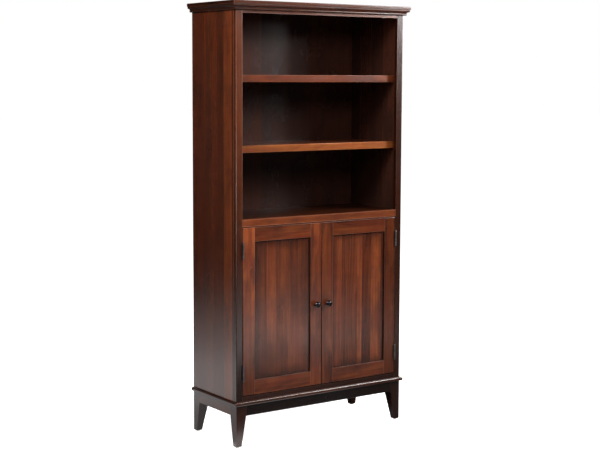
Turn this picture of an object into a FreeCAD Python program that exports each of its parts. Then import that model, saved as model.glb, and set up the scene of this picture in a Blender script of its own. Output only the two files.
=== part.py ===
import FreeCAD, Part
import math
import os
from FreeCAD import Placement, Rotation, Vector

os.makedirs("parts", exist_ok=True)

# A tall wooden bookcase with open shelves above and a two-door cabinet below.
# Millimetres. +X to the right, +Y to the back, +Z up; the front faces -Y.
# The origin is on the floor, under the middle of the crown board.

# ------------------------------------------------------------------ driving dimensions

# Whole piece
total_height = 1842.0
case_width = 864.0
case_depth = 350.0

# Carcase panels
side_thickness = 20.0
top_panel_thickness = 20.0
fixed_shelf_thickness = 20.0
floor_thickness = 20.0
back_thickness = 6.0
housing_depth = 6.0           # how far the fixed panels are let into the sides
rabbet_width = 10.0           # how far the back panel laps onto each side
back_clearance = 0.5          # between the back panel and the ends of its rabbets

# Face frame
frame_thickness = 19.0
frame_stile_width = 31.0
top_rail_height = 35.0
middle_rail_height = 30.0
bottom_rail_height = 20.0
door_opening_height = 708.5
frame_corner_radius = 3.0
joint_easing = 1.0            # small round where the frame meets the sides
rail_tenon_length = 14.0
rail_tenon_thickness = 8.0
rail_tenon_shoulder = 4.0     # rail left above and below each tenon

# Crown
crown_thickness = 14.0
crown_overhang = 25.0
crown_top_radius = 3.0
crown_bottom_radius = 2.0
crown_moulding_height = 23.0
crown_moulding_projection = 22.0
crown_cove_projection = 11.0  # where the hollow starts, above the bead
crown_bead_height = 8.0
crown_bead_swell = 1.5        # how far the bead stands out past the hollow
crown_bead_foot = 9.0         # projection of the bead's lower edge

# Base
base_height = 177.0           # floor to the top of the legs
apron_height = 46.0
apron_thickness = 20.0
apron_tenon_length = 15.0
apron_tenon_thickness = 10.0
apron_tenon_shoulder = 5.0
leg_top_width = 48.0
leg_foot_width = 26.0
leg_foot_bevel = 1.5
base_moulding_thickness = 16.0
base_moulding_projection = 11.0
base_moulding_inset = 45.0    # how far the moulding reaches in under the case
base_moulding_top_radius = 7.0
base_moulding_bottom_radius = 4.0
corner_block_height = 20.0
corner_block_reach = 45.0     # how far a block runs along each apron past the leg
block_screw_inset = 16.0      # from the apron's inner face
block_screw_reach = 14.0      # past the leg's inner face
glide_thickness = 3.0
glide_radius = 9.0
glide_nail_radius = 1.25
glide_nail_length = 14.0

# Adjustable shelves
shelf_thickness = 20.0
shelf_end_clearance = 1.0
shelf_back_clearance = 2.0
nosing_height = 29.5
nosing_depth = 20.0
nosing_setback = 30.0         # from the front of the case
nosing_radius = 2.0
cabinet_shelf_setback = 60.0
upper_shelf_height = 591.5    # top of the fixed shelf to the top of the upper shelf
middle_shelf_height = 301.5   # top of the fixed shelf to the top of the middle shelf
cabinet_shelf_height = 350.0  # top of the cabinet floor to the top of its shelf

# Shelf supports and their rows of holes
support_pin_radius = 2.5
support_pin_length = 10.0
support_pin_drop = 6.0        # pin centre below the shelf
support_tab_length = 9.0
support_tab_width = 10.0
support_tab_thickness = 2.0
support_plate_thickness = 1.5
support_plate_height = 12.0
support_front_setback = 75.0  # from the front of the case
support_back_setback = 50.0   # from the back of the case
pin_hole_pitch = 32.0
pin_hole_steps = 1            # spare holes above and below the one in use

# Doors
door_thickness = 20.0
door_side_gap = 2.0
door_middle_gap = 3.0
door_top_gap = 3.5
door_bottom_gap = 3.5
door_stile_width = 57.5
door_top_rail_height = 60.0
door_bottom_rail_height = 62.0
door_panel_thickness = 6.0
door_groove_depth = 9.0
door_panel_play = 1.0         # room for the panel to move in its grooves

# Knobs
knob_projection = 25.0
knob_head_radius = 14.0
knob_head_start = 13.0        # from the door to the back of the head
knob_rim = 3.0                # thickness of the head at its rim
knob_waist_radius = 5.0
knob_neck_flare = 1.5
knob_foot_radius = 8.0
knob_foot_thickness = 1.5
knob_screw_radius = 2.0
knob_screw_depth = 12.0       # how far the screw goes into the knob
knob_screw_end_gap = 0.5      # between the screw's end and the bottom of its hole
knob_screw_head_radius = 4.5
knob_screw_head_height = 2.5
knob_screw_head_round = 1.0

# Butt hinges
hinge_length = 66.0
hinge_inset = 94.0            # door end to the middle of the hinge
barrel_radius = 4.2
barrel_clearance = 0.5        # between the barrel and the face of the frame
knuckle_length = 20.0         # each end knuckle
knuckle_gap = 0.3
leaf_thickness = 1.6
leaf_gap = 0.2                # between the two leaves with the door shut
leaf_depth = 17.0             # how far the leaves run in from the face
hinge_pin_radius = 1.6
hinge_cap_radius = 3.4
hinge_cap_height = 3.0
hinge_screw_spacing = 22.0
hinge_screw_depth = 10.0      # from the face to the screws

# Door stop and magnetic catches
stop_strip_depth = 15.0
stop_strip_drop = 20.0        # how far the strip laps behind the doors
stop_gap = 0.3
magnet_radius = 5.0
magnet_length = 12.0
magnet_drop = 10.0            # door top to the middle of the magnet
strike_radius = 6.0
strike_thickness = 1.5
strike_pin_radius = 1.5
strike_pin_length = 8.0

# Screws
case_screw_length = 30.0
case_screw_radius = 2.0
case_screw_head_radius = 4.0
case_screw_head_height = 2.5
small_screw_length = 14.0
small_screw_radius = 1.5
small_screw_head_radius = 2.9
small_screw_head_height = 1.5
screw_tip = 3.0               # tapered end of every wood screw
fixing_inset = 120.0          # case corner to the outer screws of a row
crown_screws_across = 3
crown_screw_inset = 30.0      # from the frame and from the back panel
front_moulding_screws = 3
front_moulding_screw_inset = 8.0   # from the back of the frame
side_moulding_screws = 2
back_screw_inset = 60.0       # case end to the first back screw
back_screws_per_side = 6
back_screws_per_panel = 3
running_clearance = 0.05      # radial, round every pin and screw
touching = 0.001              # how near a mark lies to the edge that it picks

# ------------------------------------------------------------------ places worked out

half_width = case_width / 2
case_front = (crown_overhang - case_depth) / 2
case_back = case_front + case_depth
case_bottom = base_height + base_moulding_thickness
case_top = total_height - crown_thickness
inner_half = half_width - side_thickness
frame_back = case_front + frame_thickness
back_face = case_back - back_thickness
apron_bottom = base_height - apron_height

floor_top = case_bottom + bottom_rail_height
middle_rail_bottom = floor_top + door_opening_height
fixed_shelf_top = middle_rail_bottom + middle_rail_height
fixed_shelf_bottom = fixed_shelf_top - fixed_shelf_thickness
upper_opening_top = case_top - top_rail_height
opening_half = half_width - frame_stile_width

door_hinge_edge = -opening_half + door_side_gap
door_lock_edge = -door_middle_gap / 2
door_bottom = floor_top + door_bottom_gap
door_top = middle_rail_bottom - door_top_gap
door_back = case_front + door_thickness
lock_stile_middle = door_lock_edge - door_stile_width / 2
knob_height = (door_bottom + door_top) / 2

hinge_axis_x = -opening_half + door_side_gap / 2
hinge_axis_y = case_front - barrel_radius - barrel_clearance
hinge_middles = (door_bottom + hinge_inset, door_top - hinge_inset)
leaf_back = case_front + leaf_depth
magnet_height = door_top - magnet_drop

# ------------------------------------------------------------------ shared shapes


def box(x_low, x_high, y_low, y_high, z_low, z_high):
    corner = Vector(x_low, y_low, z_low)
    return Part.makeBox(x_high - x_low, y_high - y_low, z_high - z_low, corner)


def prism(plan, z_low, z_high):
    """A plan of (x, y) corners, drawn up from z_low to z_high."""
    corners = [Vector(x, y, z_low) for x, y in plan]
    face = Part.Face(Part.makePolygon(corners + corners[:1]))
    return face.extrude(Vector(0, 0, z_high - z_low))


def outline_face(steps, place):
    """A closed face. A step is a point, or a pair of points: an arc's middle and end."""
    edges = []
    here = place(*steps[0])
    for step in steps[1:]:
        if isinstance(step[0], tuple):
            end = place(*step[1])
            edges.append(Part.Arc(here, place(*step[0]), end).toShape())
        else:
            end = place(*step)
            edges.append(Part.LineSegment(here, end).toShape())
        here = end
    return Part.Face(Part.Wire(edges))


def arc_step(centre, radius, start_degrees, end_degrees):
    """The middle and the end of an arc, as outline_face takes them."""
    points = []
    for degrees in ((start_degrees + end_degrees) / 2, end_degrees):
        angle = math.radians(degrees)
        across = centre[0] + radius * math.cos(angle)
        points.append((across, centre[1] + radius * math.sin(angle)))
    return tuple(points)


def dome_step(rim_radius, rim_level, rise):
    """The arc of a dome, from its rim to the axis that its centre lies on."""
    ball_radius = (rim_radius ** 2 + rise ** 2) / (2 * rise)
    centre = (0, rim_level + rise - ball_radius)
    rim_angle = math.degrees(math.atan2(rim_level - centre[1], rim_radius))
    return arc_step(centre, ball_radius, rim_angle, 90)


def upright(across, up):
    return Vector(across, 0, up)


def rounded(shape, radius, points):
    """Rounds the edges of the shape that pass through the points."""
    marks = [Part.Vertex(point) for point in points]
    edges = [edge for edge in shape.Edges
             if any(edge.distToShape(mark)[0] < touching for mark in marks)]
    return shape.makeFillet(radius, edges)


def mirrored(shape):
    return shape.mirror(Vector(0, 0, 0), Vector(1, 0, 0))


def both_sides(shapes):
    return shapes + [mirrored(shape) for shape in shapes]


def wood_screw(head, direction, length, radius, head_radius, head_height, clearance=0.0):
    """A countersunk screw, or with a clearance the hole that it sits in."""
    shank = radius + clearance
    steps = [(0, 0), (head_radius + clearance, 0), (shank, head_height),
             (shank, length - screw_tip), (0, length + clearance), (0, 0)]
    screw = outline_face(steps, upright).revolve(Vector(0, 0, 0), Vector(0, 0, 1), 360)
    screw.Placement = Placement(head, Rotation(Vector(0, 0, 1), direction))
    return screw


def case_screw(head, direction, clearance=0.0):
    return wood_screw(head, direction, case_screw_length, case_screw_radius,
                      case_screw_head_radius, case_screw_head_height, clearance)


def small_screw(head, direction, clearance=0.0):
    return wood_screw(head, direction, small_screw_length, small_screw_radius,
                      small_screw_head_radius, small_screw_head_height, clearance)


def spaced(low, high, count):
    """Evenly spaced places from low to high."""
    return [low + (high - low) * index / (count - 1) for index in range(count)]


def write_node(name, shapes):
    solids = [solid for shape in shapes for solid in shape.Solids]
    node = solids[0] if len(solids) == 1 else Part.makeCompound(solids)
    node.exportStep("parts/" + name + ".step")
    print(name, len(solids))


# ------------------------------------------------------------------ screws of the carcase

UP = Vector(0, 0, 1)
LEFT = Vector(-1, 0, 0)
RIGHT = Vector(1, 0, 0)
FORWARD = Vector(0, -1, 0)
BACKWARD = Vector(0, 1, 0)

side_middle = half_width - side_thickness / 2
rabbet_middle = inner_half + rabbet_width / 2
leg_face = half_width - leg_top_width
apron_face = half_width - apron_thickness

# Through the top panel up into the crown board.
crown_screw_heads = []
for x in spaced(-half_width + fixing_inset, half_width - fixing_inset, crown_screws_across):
    for y in (frame_back + crown_screw_inset, back_face - crown_screw_inset):
        crown_screw_heads.append(Vector(x, y, case_top - top_panel_thickness))

# Through the base mouldings up into the sides and the cabinet floor.
moulding_screw_heads = []
for y in spaced(case_front + fixing_inset, case_back - fixing_inset, side_moulding_screws):
    moulding_screw_heads.append(Vector(-side_middle, y, base_height))
    moulding_screw_heads.append(Vector(side_middle, y, base_height))
front_row_y = frame_back + front_moulding_screw_inset
for x in spaced(-half_width + fixing_inset, half_width - fixing_inset, front_moulding_screws):
    moulding_screw_heads.append(Vector(x, front_row_y, base_height))

# Through the corner blocks up into the base mouldings and the back cleat.
block_screw_heads = []
for x_side in (-1, 1):
    for y_outer, y_inward in ((case_front, 1), (case_back, -1)):
        near_x = x_side * (apron_face - block_screw_inset)
        far_x = x_side * (leg_face - block_screw_reach)
        near_y = y_outer + y_inward * (apron_thickness + block_screw_inset)
        far_y = y_outer + y_inward * (leg_top_width + block_screw_reach)
        block_bottom = base_height - corner_block_height
        block_screw_heads.append(Vector(near_x, far_y, block_bottom))
        block_screw_heads.append(Vector(far_x, near_y, block_bottom))

case_screw_heads = crown_screw_heads + moulding_screw_heads + block_screw_heads
case_screws = [case_screw(head, UP) for head in case_screw_heads]
case_screw_holes = [case_screw(head, UP, running_clearance) for head in case_screw_heads]

# Through the back panel into the sides and the three fixed panels.
back_screw_heads = []
for z in spaced(case_bottom + back_screw_inset, case_top - back_screw_inset, back_screws_per_side):
    for x in (-rabbet_middle, rabbet_middle):
        back_screw_heads.append(Vector(x, case_back, z))
fixed_panel_middles = (
    floor_top - floor_thickness / 2,
    fixed_shelf_top - fixed_shelf_thickness / 2,
    case_top - top_panel_thickness / 2,
)
for z in fixed_panel_middles:
    for x in spaced(-half_width + fixing_inset, half_width - fixing_inset, back_screws_per_panel):
        back_screw_heads.append(Vector(x, case_back, z))
back_screws = [small_screw(head, FORWARD) for head in back_screw_heads]
back_screw_holes = [small_screw(head, FORWARD, running_clearance) for head in back_screw_heads]

# ------------------------------------------------------------------ shelf supports

shelf_tops = {
    "upper": fixed_shelf_top + upper_shelf_height,
    "middle": fixed_shelf_top + middle_shelf_height,
    "cabinet": floor_top + cabinet_shelf_height,
}
support_places_y = (case_front + support_front_setback, case_back - support_back_setback)


def shelf_support(y, shelf_bottom):
    """An L-shaped metal support on a pin, for the left side."""
    half_tab = support_tab_width / 2
    plate = box(-inner_half, -inner_half + support_plate_thickness, y - half_tab, y + half_tab,
                shelf_bottom - support_plate_height, shelf_bottom)
    tab = box(-inner_half, -inner_half + support_tab_length, y - half_tab, y + half_tab,
              shelf_bottom - support_tab_thickness, shelf_bottom)
    pin_start = Vector(-inner_half, y, shelf_bottom - support_pin_drop)
    pin = Part.makeCylinder(support_pin_radius, support_pin_length, pin_start, LEFT)
    return plate.fuse([tab, pin]).removeSplitter()


shelf_supports = []
pin_holes = []
for shelf_top in shelf_tops.values():
    for y in support_places_y:
        shelf_supports.append(shelf_support(y, shelf_top - shelf_thickness))
        for step in range(-pin_hole_steps, pin_hole_steps + 1):
            z = shelf_top - shelf_thickness - support_pin_drop + step * pin_hole_pitch
            pin_holes.append(Part.makeCylinder(
                support_pin_radius + running_clearance, support_pin_length,
                Vector(-inner_half, y, z), LEFT))
write_node("shelf_supports", both_sides(shelf_supports))

# ------------------------------------------------------------------ carcase


def housed_panel(z_low, z_high):
    """A fixed panel whose ends are let into the two sides."""
    reach = inner_half + housing_depth
    return box(-reach, reach, frame_back, back_face, z_low, z_high)


top_panel = housed_panel(case_top - top_panel_thickness, case_top)
fixed_shelf = housed_panel(fixed_shelf_bottom, fixed_shelf_top)
cabinet_floor = housed_panel(floor_top - floor_thickness, floor_top)

left_side = box(-half_width, -inner_half, frame_back, case_back, case_bottom, case_top)
left_side = rounded(left_side, joint_easing, [Vector(-half_width, frame_back, total_height / 2)])
back_rabbet = box(-inner_half - rabbet_width, -inner_half, back_face, case_back,
                  case_bottom, case_top)
left_side = left_side.cut([top_panel, fixed_shelf, cabinet_floor, back_rabbet] + pin_holes)
right_side = mirrored(left_side)
back_reach = inner_half + rabbet_width - back_clearance
back_panel = box(-back_reach, back_reach, back_face, case_back, case_bottom, case_top)

carcase_holes = case_screw_holes + back_screw_holes
write_node("side_panel_left", [left_side.cut(carcase_holes)])
write_node("side_panel_right", [right_side.cut(carcase_holes)])
write_node("case_top_panel", [top_panel.cut(carcase_holes)])
write_node("fixed_shelf", [fixed_shelf.cut(back_screw_holes)])
write_node("cabinet_floor", [cabinet_floor.cut(carcase_holes)])
write_node("back_panel", [back_panel.cut(back_screw_holes)])
write_node("back_panel_screws", back_screws)
write_node("case_screws", case_screws)

# ------------------------------------------------------------------ hinges
# Modelled for the left door; the right door's hinges are their mirror image.


def knuckle(z_low, z_high, extra=0.0):
    start = Vector(hinge_axis_x, hinge_axis_y, z_low)
    return Part.makeCylinder(barrel_radius + extra, z_high - z_low, start)


def leaf_plate(x_low, x_high, middle):
    half = hinge_length / 2
    return box(x_low, x_high, hinge_axis_y, leaf_back, middle - half, middle + half)


def pin_bore(middle):
    start = Vector(hinge_axis_x, hinge_axis_y, middle - hinge_length / 2)
    return Part.makeCylinder(hinge_pin_radius + running_clearance, hinge_length, start)


def hinge_pin(middle):
    """The pin with a domed cap at each end of the barrel."""
    half = hinge_length / 2
    shaft = Part.makeCylinder(hinge_pin_radius, hinge_length, Vector(0, 0, -half))
    upper_cap = outline_face([(0, half), (hinge_cap_radius, half),
                              dome_step(hinge_cap_radius, half, hinge_cap_height), (0, half)],
                             upright).revolve(Vector(0, 0, 0), UP, 360)
    lower_cap = upper_cap.mirror(Vector(0, 0, 0), UP)
    pin = shaft.fuse([upper_cap, lower_cap]).removeSplitter()
    pin.translate(Vector(hinge_axis_x, hinge_axis_y, middle))
    return pin


frame_leaves = []
door_leaves = []
hinge_pins = []
frame_leaf_screws = []
door_leaf_screws = []
frame_hinge_cuts = []
door_hinge_cuts = []
frame_leaf_face = hinge_axis_x - leaf_gap / 2
door_leaf_face = hinge_axis_x + leaf_gap / 2
for middle in hinge_middles:
    low = middle - hinge_length / 2
    high = middle + hinge_length / 2
    lower_join = low + knuckle_length
    upper_join = high - knuckle_length
    frame_plate = leaf_plate(frame_leaf_face - leaf_thickness, frame_leaf_face, middle)
    door_plate = leaf_plate(door_leaf_face, door_leaf_face + leaf_thickness, middle)
    middle_space = knuckle(lower_join, upper_join, knuckle_gap)
    end_spaces = [knuckle(low, lower_join + knuckle_gap, knuckle_gap),
                  knuckle(upper_join - knuckle_gap, high, knuckle_gap)]
    frame_leaf = frame_plate.cut(middle_space)
    frame_leaf = frame_leaf.fuse([knuckle(low, lower_join), knuckle(upper_join, high)])
    door_leaf = door_plate.cut(end_spaces)
    door_leaf = door_leaf.fuse(knuckle(lower_join + knuckle_gap, upper_join - knuckle_gap))
    frame_hinge_cuts.append(frame_plate)
    door_hinge_cuts.append(door_plate)
    screw_y = case_front + hinge_screw_depth
    screw_cuts = []
    for z in (middle - hinge_screw_spacing, middle, middle + hinge_screw_spacing):
        frame_head = Vector(frame_leaf_face, screw_y, z)
        door_head = Vector(door_leaf_face, screw_y, z)
        frame_leaf_screws.append(small_screw(frame_head, LEFT))
        door_leaf_screws.append(small_screw(door_head, RIGHT))
        frame_hinge_cuts.append(small_screw(frame_head, LEFT, running_clearance))
        door_hinge_cuts.append(small_screw(door_head, RIGHT, running_clearance))
        screw_cuts += [frame_hinge_cuts[-1], door_hinge_cuts[-1]]
    frame_leaves.append(frame_leaf.cut([pin_bore(middle)] + screw_cuts))
    door_leaves.append(door_leaf.cut([pin_bore(middle)] + screw_cuts))
    hinge_pins.append(hinge_pin(middle))

write_node("hinge_frame_leaves", both_sides(frame_leaves))
write_node("hinge_pins", both_sides(hinge_pins))
write_node("hinge_frame_screws", both_sides(frame_leaf_screws))

# ------------------------------------------------------------------ face frame


def frame_rail(z_low, z_high):
    """A rail of the face frame with a tenon at each end, and the two tenons alone."""
    rail = box(-opening_half, opening_half, case_front, frame_back, z_low, z_high)
    tenon_front = case_front + (frame_thickness - rail_tenon_thickness) / 2
    tenon = box(-opening_half - rail_tenon_length, -opening_half,
                tenon_front, tenon_front + rail_tenon_thickness,
                z_low + rail_tenon_shoulder, z_high - rail_tenon_shoulder)
    return rail.fuse(both_sides([tenon])).removeSplitter(), tenon


top_rail, top_tenon = frame_rail(upper_opening_top, case_top)
middle_rail, middle_tenon = frame_rail(middle_rail_bottom, fixed_shelf_top)
bottom_rail, bottom_tenon = frame_rail(case_bottom, floor_top)

frame_stile = box(-half_width, -opening_half, case_front, frame_back, case_bottom, case_top)
frame_stile = rounded(frame_stile, frame_corner_radius,
                      [Vector(-half_width, case_front, total_height / 2)])
frame_stile = rounded(frame_stile, joint_easing,
                      [Vector(-half_width, frame_back, total_height / 2)])
frame_stile = frame_stile.cut([top_tenon, middle_tenon, bottom_tenon] + frame_hinge_cuts)

write_node("frame_stile_left", [frame_stile])
write_node("frame_stile_right", [mirrored(frame_stile)])
write_node("frame_top_rail", [top_rail])
write_node("frame_middle_rail", [middle_rail])
write_node("frame_bottom_rail", [bottom_rail])

# ------------------------------------------------------------------ mitred mouldings


def front_mitre(outer, inner, z_low, z_high):
    """The space of a front moulding that is mitred at both ends."""
    plan = [(-half_width - outer, case_front - outer), (half_width + outer, case_front - outer),
            (half_width - inner, case_front + inner), (-half_width + inner, case_front + inner)]
    return prism(plan, z_low, z_high)


def left_mitre(outer, inner, z_low, z_high):
    """The space of a left moulding that is mitred at the front and square at the back."""
    plan = [(-half_width - outer, case_front - outer), (-half_width + inner, case_front + inner),
            (-half_width + inner, case_back), (-half_width - outer, case_back)]
    return prism(plan, z_low, z_high)


def mitred_mouldings(steps, outer, inner, z_low, z_high):
    """Front and left mouldings whose outline is given as (projection, height)."""
    long_x = half_width + outer
    front_face = outline_face(
        steps, lambda out, up: Vector(-long_x, case_front - out, z_low + up))
    front = front_face.extrude(Vector(2 * long_x, 0, 0))
    front = front.common(front_mitre(outer, inner, z_low, z_high))
    left_face = outline_face(
        steps, lambda out, up: Vector(-half_width - out, case_back, z_low + up))
    left = left_face.extrude(Vector(0, case_front - outer - case_back, 0))
    left = left.common(left_mitre(outer, inner, z_low, z_high))
    return front, left


# Crown: a board over a moulding with a bead, a hollow and a round.
ogee_radius = (crown_moulding_projection - crown_cove_projection) / 2
bead_top = crown_bead_height
hollow_centre = (crown_cove_projection + ogee_radius, bead_top)
round_centre = (crown_cove_projection + ogee_radius, bead_top + 2 * ogee_radius)
bead_bulge = (crown_cove_projection + crown_bead_swell, crown_bead_height / 2)
crown_outline = [
    (0, 0), (crown_bead_foot, 0), (bead_bulge, (crown_cove_projection, bead_top)),
    arc_step(hollow_centre, ogee_radius, 180, 90), arc_step(round_centre, ogee_radius, 270, 360),
    (crown_moulding_projection, crown_moulding_height), (0, crown_moulding_height), (0, 0)]
crown_front, crown_left = mitred_mouldings(
    crown_outline, crown_moulding_projection, 0, case_top - crown_moulding_height, case_top)
write_node("crown_moulding_front", [crown_front])
write_node("crown_moulding_left", [crown_left])
write_node("crown_moulding_right", [mirrored(crown_left)])

crown_half = half_width + crown_overhang
crown_front_edge = case_front - crown_overhang
crown_board = box(-crown_half, crown_half, crown_front_edge, case_back, case_top, total_height)
for z, radius in ((total_height, crown_top_radius), (case_top, crown_bottom_radius)):
    crown_board = rounded(crown_board, radius, [
        Vector(0, crown_front_edge, z), Vector(-crown_half, 0, z), Vector(crown_half, 0, z)])
write_node("crown_board", [crown_board.cut(case_screw_holes)])

# Base: a flat moulding with a rounded nose between the case and the legs.
nose = base_moulding_projection
top_nose = base_moulding_top_radius
bottom_nose = base_moulding_bottom_radius
base_outline = [
    (-base_moulding_inset, 0), (nose - bottom_nose, 0),
    arc_step((nose - bottom_nose, bottom_nose), bottom_nose, 270, 360),
    (nose, base_moulding_thickness - top_nose),
    arc_step((nose - top_nose, base_moulding_thickness - top_nose), top_nose, 0, 90),
    (-base_moulding_inset, base_moulding_thickness), (-base_moulding_inset, 0)]
base_front, base_left = mitred_mouldings(
    base_outline, base_moulding_projection, base_moulding_inset, base_height, case_bottom)
cleat_half = half_width - base_moulding_inset
back_cleat = box(-cleat_half, cleat_half, case_back - base_moulding_inset, case_back,
                 base_height, case_bottom)
write_node("base_moulding_front", [base_front.cut(case_screw_holes)])
write_node("base_moulding_left", [base_left.cut(case_screw_holes)])
write_node("base_moulding_right", [mirrored(base_left).cut(case_screw_holes)])
write_node("base_back_cleat", [back_cleat.cut(case_screw_holes)])

# ------------------------------------------------------------------ legs, aprons and blocks


def leg(x_inward, y_outer, y_inward):
    """A leg that is square at the top and tapers on its two inner faces."""
    x_outer = -x_inward * half_width

    def section(low, high, z):
        corners = ((low, low), (high, low), (high, high), (low, high))
        points = [Vector(x_outer + x_inward * across, y_outer + y_inward * back, z)
                  for across, back in corners]
        return Part.makePolygon(points + points[:1])

    def solid(lower, upper):
        return Part.makeLoft([lower, upper], True, True)

    bevel_top = glide_thickness + leg_foot_bevel
    foot = solid(section(leg_foot_bevel, leg_foot_width - leg_foot_bevel, glide_thickness),
                 section(0, leg_foot_width, bevel_top))
    taper = solid(section(0, leg_foot_width, bevel_top),
                  section(0, leg_top_width, apron_bottom))
    post = solid(section(0, leg_top_width, apron_bottom),
                 section(0, leg_top_width, base_height))
    return post.fuse([taper, foot]).removeSplitter()


def long_apron(y_outer, y_inward):
    """A front or back apron with a tenon at each end."""
    face = (y_outer, y_outer + y_inward * apron_thickness)
    shoulder = (apron_thickness - apron_tenon_thickness) / 2
    tenon = (y_outer + y_inward * shoulder, y_outer + y_inward * (apron_thickness - shoulder))
    apron = box(-leg_face, leg_face, min(face), max(face), apron_bottom, base_height)
    tongue = box(-leg_face - apron_tenon_length, leg_face + apron_tenon_length,
                 min(tenon), max(tenon),
                 apron_bottom + apron_tenon_shoulder, base_height - apron_tenon_shoulder)
    return apron.fuse(tongue).removeSplitter()


def left_apron():
    """A side apron with a tenon at each end."""
    shoulder = (apron_thickness - apron_tenon_thickness) / 2
    low = case_front + leg_top_width
    high = case_back - leg_top_width
    apron = box(-half_width, -apron_face, low, high, apron_bottom, base_height)
    tongue = box(-half_width + shoulder, -apron_face - shoulder,
                 low - apron_tenon_length, high + apron_tenon_length,
                 apron_bottom + apron_tenon_shoulder, base_height - apron_tenon_shoulder)
    return apron.fuse(tongue).removeSplitter()


def corner_block(x_inward, y_outer, y_inward):
    """A block glued into the corner behind a leg, between two aprons."""
    x_outer = -x_inward * half_width
    far = leg_top_width + corner_block_reach
    corners = ((apron_thickness, leg_top_width), (apron_thickness, far), (far, apron_thickness),
               (leg_top_width, apron_thickness), (leg_top_width, leg_top_width))
    plan = [(x_outer + x_inward * across, y_outer + y_inward * back) for across, back in corners]
    return prism(plan, base_height - corner_block_height, base_height)


def leg_glide(x_inward, y_outer, y_inward):
    """A round foot pad on a nail."""
    middle = leg_foot_width / 2
    start = Vector(x_inward * (middle - half_width), y_outer + y_inward * middle, 0)
    pad = Part.makeCylinder(glide_radius, glide_thickness, start)
    nail = Part.makeCylinder(glide_nail_radius, glide_thickness + glide_nail_length, start)
    return pad.fuse(nail).removeSplitter()


aprons = {
    "apron_front": long_apron(case_front, 1),
    "apron_back": long_apron(case_back, -1),
    "apron_left": left_apron(),
    "apron_right": mirrored(left_apron()),
}
corners = {
    "leg_front_left": (1, case_front, 1),
    "leg_front_right": (-1, case_front, 1),
    "leg_back_left": (1, case_back, -1),
    "leg_back_right": (-1, case_back, -1),
}
corner_blocks = []
leg_glides = []
for name, corner in corners.items():
    glide = leg_glide(*corner)
    leg_glides.append(glide)
    corner_blocks.append(corner_block(*corner).cut(case_screw_holes))
    write_node(name, [leg(*corner).cut(list(aprons.values()) + [glide])])
for name, apron in aprons.items():
    write_node(name, [apron])
write_node("corner_blocks", corner_blocks)
write_node("leg_glides", leg_glides)

# ------------------------------------------------------------------ adjustable shelves

shelf_half = inner_half - shelf_end_clearance
shelf_back = back_face - shelf_back_clearance
nosing_front = case_front + nosing_setback
nosing_back = nosing_front + nosing_depth


def shelf_board(front, top):
    return box(-shelf_half, shelf_half, front, shelf_back, top - shelf_thickness, top)


def shelf_nosing(top):
    """The solid strip along the front of a shelf, deeper than the board."""
    bottom = top - nosing_height
    strip = box(-shelf_half, shelf_half, nosing_front, nosing_back, bottom, top)
    return rounded(strip, nosing_radius,
                   [Vector(0, nosing_front, top), Vector(0, nosing_front, bottom)])


for place in ("upper", "middle"):
    write_node(place + "_shelf_board", [shelf_board(nosing_back, shelf_tops[place])])
    write_node(place + "_shelf_nosing", [shelf_nosing(shelf_tops[place])])
cabinet_shelf_front = case_front + cabinet_shelf_setback
write_node("cabinet_shelf_board", [shelf_board(cabinet_shelf_front, shelf_tops["cabinet"])])

# ------------------------------------------------------------------ doors
# Modelled for the left door; the right door is its mirror image.

panel_front = case_front + (door_thickness - door_panel_thickness) / 2
panel_back = panel_front + door_panel_thickness
hinge_stile_inner = door_hinge_edge + door_stile_width
lock_stile_inner = door_lock_edge - door_stile_width
top_rail_low = door_top - door_top_rail_height
bottom_rail_high = door_bottom + door_bottom_rail_height

# The grooves that hold the panel and take the rails' short tenons.
groove_left = hinge_stile_inner - door_groove_depth
groove_right = lock_stile_inner + door_groove_depth
stile_groove = box(groove_left, groove_right, panel_front, panel_back, door_bottom, door_top)
rail_groove = box(groove_left, groove_right, panel_front, panel_back,
                  bottom_rail_high - door_groove_depth, top_rail_low + door_groove_depth)


def door_rail(z_low, z_high):
    rail = box(hinge_stile_inner, lock_stile_inner, case_front, door_back, z_low, z_high)
    tongue = box(groove_left, groove_right, panel_front, panel_back, z_low, z_high)
    return rail.fuse(tongue).removeSplitter().cut(rail_groove)


def knob():
    """A turned mushroom knob with a blind screw hole in its foot."""
    rim_front = knob_head_start + knob_rim
    neck_middle = (knob_waist_radius, (knob_foot_thickness + knob_head_start) / 2)
    neck_end = (knob_waist_radius + knob_neck_flare, knob_head_start - knob_neck_flare)
    steps = [(0, 0), (knob_foot_radius, 0), (knob_foot_radius, knob_foot_thickness),
             (neck_middle, neck_end), (knob_head_radius - knob_rim / 2, knob_head_start),
             (knob_head_radius, knob_head_start + knob_rim / 2), (knob_head_radius, rim_front),
             dome_step(knob_head_radius, rim_front, knob_projection - rim_front), (0, 0)]
    body = outline_face(steps, upright).revolve(Vector(0, 0, 0), UP, 360)
    hole = Part.makeCylinder(knob_screw_radius + running_clearance, knob_screw_depth)
    turned = body.cut(hole)
    turned.Placement = Placement(Vector(lock_stile_middle, case_front, knob_height),
                                 Rotation(UP, FORWARD))
    return turned


def knob_screw():
    """The screw through the door, its head against the back of the stile."""
    head_start = Vector(lock_stile_middle, door_back, knob_height)
    head = Part.makeCylinder(knob_screw_head_radius, knob_screw_head_height,
                             head_start, BACKWARD)
    head_edge = head_start + Vector(knob_screw_head_radius, knob_screw_head_height, 0)
    head = rounded(head, knob_screw_head_round, [head_edge])
    shank_length = door_thickness + knob_screw_depth - knob_screw_end_gap
    shank = Part.makeCylinder(knob_screw_radius, shank_length, head_start, FORWARD)
    return head.fuse(shank).removeSplitter()


def strike_plate():
    """A steel disc on a pin, let into the back of the lock stile."""
    start = Vector(lock_stile_middle, door_back, magnet_height)
    disc = Part.makeCylinder(strike_radius, strike_thickness, start, FORWARD)
    pin = Part.makeCylinder(strike_pin_radius, strike_pin_length, start, FORWARD)
    return disc.fuse(pin).removeSplitter()


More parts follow.
